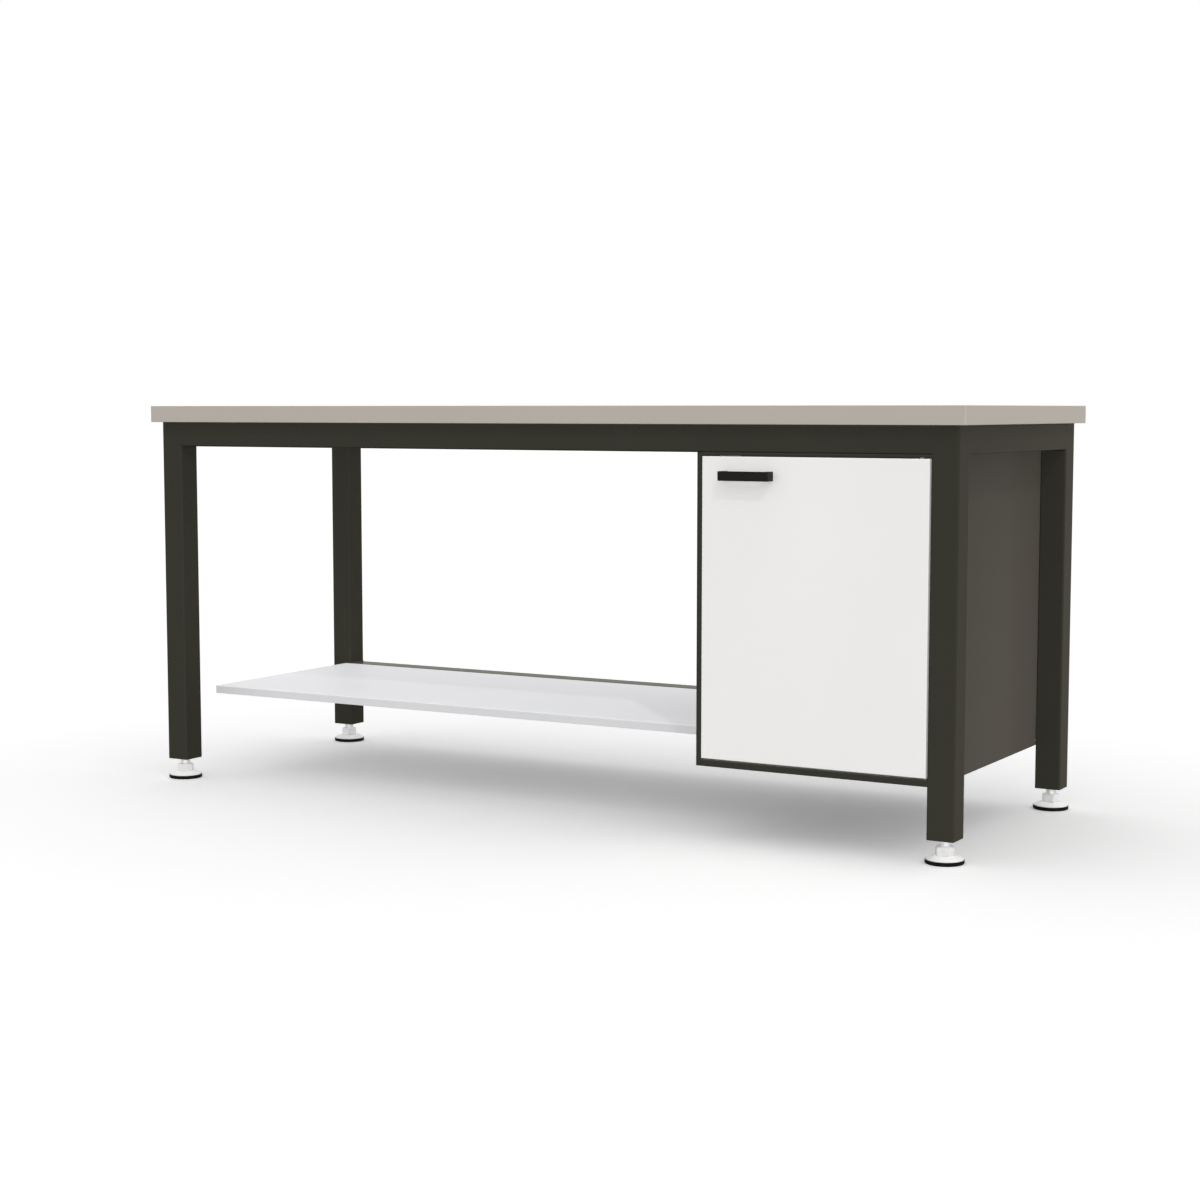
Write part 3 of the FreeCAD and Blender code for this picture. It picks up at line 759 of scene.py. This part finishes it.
def skin(mesh: bmesh.types.BMesh, rings: Sequence[Sequence[Vector]], caps: tuple[bool, bool]) -> Loop:
    """Join rings of equal count by a wall of quads.

    Args:
        mesh: Mesh that gets the wall.
        rings: Rings from one end to the other.
        caps: Whether the first and the last ring are closed by a face.

    Returns:
        The vertices of the last ring.
    """
    rows = [[mesh.verts.new(point) for point in points] for points in rings]
    for low, high in zip(rows, rows[1:]):
        wall(mesh, low, high)
    if caps[0]:
        mesh.faces.new(rows[0][::-1])
    if caps[1]:
        mesh.faces.new(rows[-1])
    return rows[-1]


def hexagon_radius(flats: float) -> Callable[[float], float]:
    """Distance from the axis to a hexagon's side, by angle."""
    sector = math.pi / 3
    return lambda angle: flats / 2 / math.cos(angle % sector - sector / 2)


def chamfered_hexagon(flats: float, low: float, high: float, count: int, both: bool) -> list[list[Vector]]:
    """Rings of a hexagon whose corners are turned off by a cone.

    Args:
        flats: Width over the flats.
        low: Height of the lower face.
        high: Height of the upper face.
        count: Points in a ring.
        both: Whether the lower face is turned too.

    Returns:
        Rings from the lower face to the upper one.
    """
    side = hexagon_radius(flats)
    turned = flats / 2 * TURNED_SHARE

    def drop(angle: float) -> float:
        """Height that the cone takes off at an angle."""
        return (side(angle) - turned) * TURNED_SLOPE

    lower = [circle(turned, low, count), ring(side, lambda angle: low + drop(angle), count)]
    square = [ring(side, lambda angle: low, count)]
    upper = [ring(side, lambda angle: high - drop(angle), count), circle(turned, high, count)]
    return (lower if both else square) + upper


def plain_mesh(name: str, build: Callable[[bmesh.types.BMesh], None]) -> bpy.types.Mesh:
    """Make a mesh with outward faces.

    Args:
        name: Name of the mesh.
        build: Function that fills it.

    Returns:
        The mesh.
    """
    work = bmesh.new()
    build(work)
    bmesh.ops.recalc_face_normals(work, faces=work.faces)
    mesh = bpy.data.meshes.new(name)
    work.to_mesh(mesh)
    work.free()
    return mesh


@dataclass
class LevellingFeet:
    """Four plated spindles: a chamfered hexagon under a threaded stem, one in each foot."""

    plating: bpy.types.Material
    hex_flats: float = 0.036
    hex_height: float = 0.019
    stub_radius: float = 0.008
    stub_height: float = 0.007
    stem_radius: float = 0.012
    thread_pitch: float = 0.003
    thread_depth: float = 0.0016
    relief: float = 0.001
    steps: int = 72
    thread_steps: int = 32
    thread_sides: int = 4

    def build(self) -> Iterator[bpy.types.Object]:
        """Make the four spindles.

        Yields:
            Each finished piece.
        """
        tree = self.thread_tree()
        for corner in Corner:
            node = "foot_spindle_" + corner.value
            low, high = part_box(node)
            axis = Vector(((low.x + high.x) / 2, (low.y + high.y) / 2, 0))
            hex_top = low.z + self.stub_height + self.hex_height
            carrier = plain_mesh(node, lambda mesh: self.hexagon(mesh, axis, low.z))
            spindle = tree.grow("spindle_" + corner.value, carrier, {
                "Axis X": axis.x,
                "Axis Y": axis.y,
                "Base": hex_top + self.relief,
                "Length": high.z - hex_top - self.relief * 2,
            })
            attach(spindle, "foot_" + corner.value)
            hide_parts(node)
            yield spindle

    def hexagon(self, mesh: bmesh.types.BMesh, axis: Vector, low: float) -> None:
        """Stub, hexagon and the stem's plain root, about a vertical axis.

        Args:
            mesh: Mesh to fill.
            axis: Place of the axis on the floor.
            low: Height of the stub's end.
        """
        hex_low = low + self.stub_height
        hex_high = hex_low + self.hex_height
        root = self.stem_radius - self.thread_depth
        rings = [circle(self.stub_radius, low, self.steps), circle(self.stub_radius, hex_low, self.steps)]
        rings += chamfered_hexagon(self.hex_flats, hex_low, hex_high, self.steps, True)
        rings += [circle(root, hex_high, self.steps), circle(root, hex_high + self.relief * 2, self.steps)]
        skin(mesh, [[point + axis for point in points] for points in rings], (True, True))

    def thread_tree(self) -> ShapeTree:
        """Rule of a threaded stem: a helix with a diamond section on a core.

        Returns:
            The tree.
        """
        tree = ShapeTree("threaded_stem", {
            "Axis X": 0.0, "Axis Y": 0.0, "Base": 0.0, "Length": 0.0,
            "Pitch": self.thread_pitch, "Depth": self.thread_depth, "Radius": self.stem_radius,
        })
        root = tree.size("Radius") - tree.size("Depth")
        length = tree.size("Length")
        helix = tree.node("GeometryNodeCurveSpiral", None, {
            "Resolution": self.thread_steps, "Rotations": length / tree.size("Pitch"),
            "Start Radius": root, "End Radius": root, "Height": length,
        }).outputs["Curve"]
        upright = tree.node("GeometryNodeSetCurveNormal", {"mode": "Z_UP"}, {"Curve": helix})
        section = tree.node("GeometryNodeCurvePrimitiveCircle", None, {
            "Resolution": self.thread_sides, "Radius": tree.size("Depth"),
        }).outputs["Curve"]
        ridge = tree.node("GeometryNodeCurveToMesh", None, {
            "Curve": upright.outputs["Curve"], "Profile Curve": section, "Fill Caps": True,
        }).outputs["Mesh"]
        core = tree.node("GeometryNodeMeshCylinder", None, {
            "Vertices": self.thread_steps, "Radius": root, "Depth": length,
        }).outputs["Mesh"]
        stem = tree.joined(ridge, tree.moved(core, {"Z": length / 2}))
        spot = {"X": tree.size("Axis X"), "Y": tree.size("Axis Y"), "Z": tree.size("Base")}
        tree.close(tree.joined(tree.carrier(), tree.moved(stem, spot)), self.plating)
        return tree


@dataclass
class WeldSeams:
    """Rippled fillet welds in the inside corners of the tube frame, under its paint."""

    paint: bpy.types.Material
    bead: float = 0.0032
    ripple: float = 0.0024
    tube_corner: float = 0.005
    clearance: float = 0.003
    drop_segments: int = 14
    drop_rings: int = 7
    drop_flatness: float = 0.75
    drop_sizes: Band = (0.9, 1.08)
    drop_seed: int = 7
    joints: Sequence[tuple[str, str, str]] = (
        ("front_top_rail", "leg_front_left", "leg_front_right"),
        ("rear_top_rail", "leg_rear_left", "leg_rear_right"),
        ("left_top_rail", "leg_front_left", "leg_rear_left"),
        ("right_top_rail", "leg_front_right", "leg_rear_right"),
        ("rear_lower_rail", "leg_rear_left", "leg_rear_right"),
        ("centre_cross_rail", "front_top_rail", "rear_top_rail"),
    )
    neighbours: Sequence[str] = (
        "cabinet_top", "cabinet_left_panel", "cabinet_right_panel", "cabinet_right_liner",
    )

    def build(self) -> Iterator[bpy.types.Object]:
        """Make all seams as one piece on the frame.

        Yields:
            The finished piece.
        """
        ends = [(rail, post) for rail, *posts in self.joints for post in posts]
        corners = [run for rail, post in ends for run in self.corners(rail, post)]
        runs = [part for run in corners for part in self.free(run)]

        def fill(mesh: bmesh.types.BMesh) -> None:
            """One loose edge for each seam."""
            for run in runs:
                mesh.edges.new([mesh.verts.new(end) for end in run])

        seams = self.ripple_tree().grow("weld_seams", plain_mesh("weld_runs", fill), {})
        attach(seams, "frame")
        yield seams

    def corners(self, rail: str, post: str) -> Iterator[Run]:
        """Inside corners where a rail's end meets a post.

        Args:
            rail: Node whose end is welded.
            post: Node that it is welded to.

        Yields:
            Each corner's two ends.
        """
        low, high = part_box(rail)
        post_low, post_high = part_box(post)
        below = [abs(low[axis] - post_high[axis]) for axis in AXES]
        above = [abs(high[axis] - post_low[axis]) for axis in AXES]
        normal = min(AXES, key=lambda axis: min(below[axis], above[axis]))
        level = post_high[normal] if below[normal] < above[normal] else post_low[normal]
        sides = [axis for axis in AXES if axis != normal]
        for across, along in (sides, sides[::-1]):
            for edge, beyond in ((low[across], low[across] - post_low[across]),
                                 (high[across], post_high[across] - high[across])):
                if beyond < self.bead:
                    continue
                ends = []
                for limit in (low[along] + self.tube_corner, high[along] - self.tube_corner):
                    end = Vector((0, 0, 0))
                    end[normal], end[across], end[along] = level, edge, limit
                    ends.append(end)
                yield ends[0], ends[1]

    def free(self, run: Run) -> Iterator[Run]:
        """The stretch of a corner that no cupboard wall fills.

        Args:
            run: A corner's two ends.

        Yields:
            What is left of it.
        """
        start, end = run
        room = self.clearance
        along = max(AXES, key=lambda axis: abs(end[axis] - start[axis]))
        first, last = start[along], end[along]
        for name in self.neighbours:
            low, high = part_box(name)
            beside = [axis for axis in AXES if axis != along]
            near = all(low[axis] - room < start[axis] < high[axis] + room for axis in beside)
            if near and low[along] < last and high[along] > first:
                if low[along] - room <= first:
                    first = high[along] + room
                else:
                    last = low[along] - room
        if last - first > self.bead * 2:
            cut = [start.copy(), start.copy()]
            cut[0][along], cut[1][along] = first, last
            yield cut[0], cut[1]

    def ripple_tree(self) -> ShapeTree:
        """Rule of a weld: overlapping flattened drops along each loose edge.

        Returns:
            The tree.
        """
        tree = ShapeTree("weld_ripples", {"Bead": self.bead, "Ripple": self.ripple})
        line = tree.node("GeometryNodeMeshToCurve", None, {"Mesh": tree.carrier()}).outputs["Curve"]
        spots = tree.node("GeometryNodeResampleCurve", {"mode": "LENGTH"}, {
            "Curve": line, "Length": tree.size("Ripple"),
        }).outputs["Curve"]
        tangent = tree.node("GeometryNodeInputTangent").outputs["Tangent"]
        drop = tree.node("GeometryNodeMeshUVSphere", None, {
            "Segments": self.drop_segments, "Rings": self.drop_rings, "Radius": tree.size("Bead"),
        }).outputs["Mesh"]
        flat = tree.node("GeometryNodeTransform", None, {
            "Geometry": drop, "Scale": (1.0, 1.0, self.drop_flatness),
        }).outputs["Geometry"]
        smooth = tree.node("GeometryNodeSetShadeSmooth", None, {"Geometry": flat}).outputs["Geometry"]
        drops = tree.node("GeometryNodeInstanceOnPoints", None, {
            "Points": spots, "Instance": smooth, "Rotation": tree.aimed(tangent),
            "Scale": tree.random(*self.drop_sizes, self.drop_seed),
        }).outputs["Instances"]
        tree.close(drops, self.paint)
        return tree


@dataclass(frozen=True)
class FastenerKind:
    """One node of like screws or bolts."""

    node: str
    body: str
    head: Head
    head_radius: float
    head_height: float
    shank_radius: float
    shank_length: float


@dataclass
class Fasteners:
    """Screws and bolts with driven heads in the places of the CAD ones."""

    plating: bpy.types.Material
    steps: int = 24
    turn_seed: int = 3
    screw_tip: float = 0.6
    pan_profile: Sequence[Band] = ((1.0, 0.0), (1.0, 0.4), (0.94, 0.74), (0.8, 0.94), (0.64, 1.0))
    recess_arm: float = 0.5
    recess_width: float = 0.16
    recess_floor: float = 0.6
    recess_level: float = 0.35
    bolt_tip: float = 0.8
    bolt_taper: float = 0.3
    kinds: Sequence[FastenerKind] = (
        FastenerKind("cabinet_screws", "frame", Head.CROSS, 0.005, 0.003, 0.0025, 0.007),
        FastenerKind("cleat_screws", "frame", Head.CROSS, 0.005, 0.003, 0.0025, 0.008),
        FastenerKind("worktop_screws", "frame", Head.CROSS, 0.0055, 0.003, 0.0025, 0.026),
        FastenerKind("handle_screws", "door", Head.CROSS, 0.004, 0.0026, 0.002, 0.012),
        FastenerKind("arm_bolts", "frame", Head.HEXAGON, 0.0072, 0.0053, 0.004, 0.009),
    )

    def build(self) -> Iterator[bpy.types.Object]:
        """Make one piece for each kind.

        Yields:
            Each finished piece.
        """
        for kind in self.kinds:
            maker = self.cross_head if kind.head is Head.CROSS else self.hexagon_head
            shape = plain_mesh(kind.node, lambda mesh: maker(mesh, kind))
            pattern = bpy.data.objects.new(kind.node + "_pattern", shape)
            tree = self.placing_tree(kind.node, pattern)
            piece = tree.grow(kind.node + "_driven", self.seats(kind), {})
            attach(piece, kind.body)
            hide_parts(kind.node)
            bpy.data.objects.remove(pattern)
            yield piece

    def seats(self, kind: FastenerKind) -> bpy.types.Mesh:
        """Points under the heads, each with the way that its shank goes.

        Args:
            kind: The fasteners to find in their node.

        Returns:
            A mesh of loose points with the attribute aim.
        """
        spots, aims = [], []
        for points in islands(kind.node):
            low = Vector(map(min, zip(*points)))
            high = Vector(map(max, zip(*points)))
            middle = (low + high) / 2
            # The points lean to one end along the axis and are even across it.
            lean = sum(points, Vector()) / len(points) - middle
            along = max(AXES, key=lambda axis: abs(lean[axis]))
            across = (along + 1) % len(AXES)
            wide = max(points, key=lambda point: abs(point[across] - middle[across]))
            aim = Vector((0, 0, 0))
            aim[along] = -1.0 if wide[along] > middle[along] else 1.0
            spot = middle.copy()
            spot[along] = (high[along] if aim[along] < 0 else low[along]) + aim[along] * kind.head_height
            spots.append(spot)
            aims.append(aim)
        mesh = bpy.data.meshes.new(kind.node + "_seats")
        mesh.from_pydata(spots, [], [])
        mesh.attributes.new("aim", "FLOAT_VECTOR", "POINT").data.foreach_set(
            "vector", [value for aim in aims for value in aim])
        return mesh

    def placing_tree(self, name: str, pattern: bpy.types.Object) -> ShapeTree:
        """Rule that sets a pattern on points, along their aim, each turned by a random angle.

        Args:
            name: Name of the tree.
            pattern: The fastener, head below and shank above the origin.

        Returns:
            The tree.
        """
        tree = ShapeTree(name, {"Turn": math.pi})
        shape = tree.node("GeometryNodeObjectInfo", None, {"Object": pattern}).outputs["Geometry"]
        aim = tree.node("GeometryNodeInputNamedAttribute", {"data_type": "FLOAT_VECTOR"}, {"Name": "aim"})
        angle = tree.random(0.0, tree.size("Turn"), self.turn_seed)
        spin = tree.node("FunctionNodeAxisAngleToRotation", None, {"Angle": angle}).outputs["Rotation"]
        driven = tree.node("FunctionNodeRotateRotation", {"rotation_space": "LOCAL"}, {
            "Rotation": tree.aimed(aim.outputs["Attribute"]), "Rotate By": spin,
        }).outputs["Rotation"]
        placed = tree.node("GeometryNodeInstanceOnPoints", None, {
            "Points": tree.carrier(), "Instance": shape, "Rotation": driven,
        }).outputs["Instances"]
        tree.close(placed, self.plating)
        return tree

    def cross_head(self, mesh: bmesh.types.BMesh, kind: FastenerKind) -> None:
        """Pan head with a cross recess, below a plain shank.

        Args:
            mesh: Mesh to fill.
            kind: Sizes of the screw.
        """
        radius, depth, core = kind.head_radius, kind.head_height, kind.shank_radius
        shank = [(core * self.screw_tip, kind.shank_length), (core, kind.shank_length - core), (core, 0)]
        head = [(radius * out, -depth * down) for out, down in self.pan_profile]
        top = skin(mesh, [circle(out, height, self.steps) for out, height in shank + head], (True, False))
        arm, width = radius * self.recess_arm, radius * self.recess_width
        corner = [(width, width), (width, arm), (-width, arm)]
        outline = []
        for quarter in range(4):
            turn = quarter * math.pi / 2
            cosine, sine = math.cos(turn), math.sin(turn)
            outline += [(x * cosine - y * sine, x * sine + y * cosine) for x, y in corner]
        mouth = [mesh.verts.new((x, y, -depth)) for x, y in outline]
        inner, level = self.recess_floor, -depth * self.recess_level
        bottom = [mesh.verts.new((x * inner, y * inner, level)) for x, y in outline]
        rims = []
        for loop in (top, mouth):
            for here, there in zip(loop, loop[1:] + loop[:1]):
                rims.append(mesh.edges.get((here, there)) or mesh.edges.new((here, there)))
        bmesh.ops.triangle_fill(mesh, edges=rims, use_beauty=True)
        wall(mesh, mouth, bottom)
        mesh.faces.new(bottom)

    def hexagon_head(self, mesh: bmesh.types.BMesh, kind: FastenerKind) -> None:
        """Hexagon head with turned corners, below a plain shank.

        Args:
            mesh: Mesh to fill.
            kind: Sizes of the bolt.
        """
        core, length = kind.shank_radius, kind.shank_length
        flats = kind.head_radius * math.sqrt(3)
        shank = [(core * self.bolt_tip, -length), (core, -length + core * self.bolt_taper), (core, 0)]
        rings = [circle(out, height, self.steps) for out, height in shank]
        rings += chamfered_hexagon(flats, 0, kind.head_height, self.steps, False)
        flipped = [[Vector((point.x, -point.y, -point.z)) for point in points] for points in rings]
        skin(mesh, flipped, (True, True))


def nearest(points: Sequence[Vector]) -> tuple[float, ...]:
    """The point nearest the origin, or the least of several."""
    return tuple(min(points, key=lambda point: (point.length_squared, *point)))


def islands(node: str) -> list[list[Vector]]:
    """Separate solids of a CAD node.

    Args:
        node: Name of the node.

    Returns:
        The points of each solid, in the order of their nearest points.
    """
    work = bmesh.new()
    work.from_mesh(frame["nodes"][node].data)
    bmesh.ops.remove_doubles(work, verts=work.verts, dist=MERGE_DISTANCE)
    left = set(work.verts)
    found = []
    while left:
        reached = [left.pop()]
        for vertex in reached:
            beside = {edge.other_vert(vertex) for edge in vertex.link_edges} & left
            left -= beside
            reached += beside
        found.append([vertex.co.copy() for vertex in reached])
    work.free()
    return sorted(found, key=nearest)


@dataclass(frozen=True)
class Lamp:
    """A far light, its spread in degrees, which may throw shadows and show as a glint in glossy faces."""

    name: str
    way: tuple[float, float, float]
    strength: float
    spread: float
    shadows: bool = True
    glints: bool = True

    def build(self) -> bpy.types.Object:
        """Add the light to the scene.

        Returns:
            The light.
        """
        data = bpy.data.lights.new(self.name, "SUN")
        data.energy = self.strength
        data.angle = math.radians(self.spread)
        data.use_shadow = self.shadows
        light = bpy.data.objects.new(self.name, data)
        light.rotation_euler = Vector(self.way).to_track_quat("-Z", "Y").to_euler()
        light.visible_glossy = self.glints
        bpy.context.scene.collection.objects.link(light)
        return light


@dataclass
class Studio:
    """Pale floor, even white surroundings, a key and a fill from the front right and a fill from behind."""

    floor_half: float = 40.0
    floor_tone: float = 1.4
    floor_bounce: float = 0.55
    floor_glow: float = 0.2
    sky_strength: float = 0.75
    key: Lamp = Lamp("key", (-0.65, 0.70, -1.0), strength=0.38, spread=1.0)
    fill: Lamp = Lamp("fill", (-0.36, 0.40, -0.57), strength=2.47, spread=8.0, shadows=False)
    rear: Lamp = Lamp("rear", (0.5, -0.6, 0.0), strength=0.9, spread=8.0, shadows=False, glints=False)
    sheltered: Sequence[str] = (
        "catch_magnet", "catch_strike",
        "hinge_pin_top", "hinge_bush_top", "hinge_pin_bottom", "hinge_bush_bottom",
    )

    def build(self) -> None:
        """Make the world, the floor and the lights, which spare the floor and what the door hides."""
        self.world()
        spared = bpy.data.collections.new("spared_by_lamps")
        for piece in [self.floor()] + [frame["nodes"][name] for name in self.sheltered]:
            spared.objects.link(piece)
        for member in spared.collection_objects:
            member.light_linking.link_state = "EXCLUDE"
        for lamp in (self.key, self.fill, self.rear):
            lamp.build().light_linking.receiver_collection = spared

    @staticmethod
    def seen(graph: Graph) -> Term:
        """Mask of the rays that show the surroundings: straight, mirrored or through glass.

        Args:
            graph: Tree of the floor or the world.

        Returns:
            1 for such rays and 0 for those that light the object.
        """
        path = graph.node("ShaderNodeLightPath").outputs
        straight, mirrored, through = (
            Term(graph, path[name]) for name in ("Is Camera Ray", "Is Glossy Ray", "Is Transmission Ray")
        )
        return (straight + mirrored + through).ramp(0.0, 1.0)

    def world(self) -> None:
        """Even white surroundings."""
        world = bpy.data.worlds.new("studio")
        world.use_nodes = True
        sky = Graph(world.node_tree)
        strength = self.seen(sky) * (1 - self.sky_strength) + self.sky_strength
        white = sky.node("ShaderNodeBackground", None, {
            "Color": (1.0, 1.0, 1.0, 1.0), "Strength": strength,
        })
        sky.node("ShaderNodeOutputWorld", None, {"Surface": white.outputs["Background"]})
        bpy.context.scene.world = world

    def floor(self) -> bpy.types.Object:
        """Make a white floor that keeps the object's shadow and throws less light back than it shows.

        Returns:
            The floor.
        """
        material = bpy.data.materials.new("studio_floor")
        material.use_nodes = True
        graph = Graph(material.node_tree)
        seen = self.seen(graph)
        tone = seen * (self.floor_tone - self.floor_bounce) + self.floor_bounce
        paint = graph.node("ShaderNodeBsdfDiffuse", None, {"Color": tone})
        glow = graph.node("ShaderNodeEmission", None, {"Strength": 1.0})
        mix = graph.node("ShaderNodeMixShader", None, {
            "Fac": seen * self.floor_glow,
            1: paint.outputs["BSDF"],
            2: glow.outputs["Emission"],
        })
        graph.node("ShaderNodeOutputMaterial", None, {"Surface": mix.outputs["Shader"]})
        half = self.floor_half
        mesh = bpy.data.meshes.new("studio_floor")
        corners = [(-half, -half, 0), (half, -half, 0), (half, half, 0), (-half, half, 0)]
        mesh.from_pydata(corners, [], [range(len(corners))])
        mesh.materials.append(material)
        floor = bpy.data.objects.new("studio_floor", mesh)
        bpy.context.scene.collection.objects.link(floor)
        return floor


@dataclass(frozen=True)
class PhotoCamera:
    """Camera at the photograph's place, for a square picture."""

    place: tuple[float, float, float] = (2.5481, -4.3942, 0.9319)
    pitch: float = math.radians(84.821)
    heading: float = math.radians(30.091)
    lens: float = 63.135
    sensor: float = 36.0

    def build(self) -> None:
        """Set up the scene's camera."""
        data = bpy.data.cameras.new("photo_camera")
        data.lens = self.lens
        data.sensor_width = self.sensor
        camera = bpy.data.objects.new("photo_camera", data)
        camera.location = self.place
        camera.rotation_euler = (self.pitch, 0.0, self.heading)
        bpy.context.scene.collection.objects.link(camera)
        bpy.context.scene.camera = camera


def main() -> None:
    """Dress the frame, build the added pieces in order and set up the studio."""
    logging.basicConfig(level=logging.INFO, format="%(message)s")
    PhotoCamera().build()
    materials = palette()
    dress_nodes(materials)
    assemblies = (
        LevellingFeet(materials[Slot.ZINC_STEEL]),
        WeldSeams(materials[Slot.FRAME_PAINT]),
        Fasteners(materials[Slot.ZINC_STEEL]),
    )
    for assembly in assemblies:
        for piece in assembly.build():
            LOG.info("piece %s: %d faces", piece.name, len(piece.data.polygons))
    Studio().build()
    bpy.context.scene.view_settings.view_transform = "Standard"


if __name__ == "__main__":
    main()
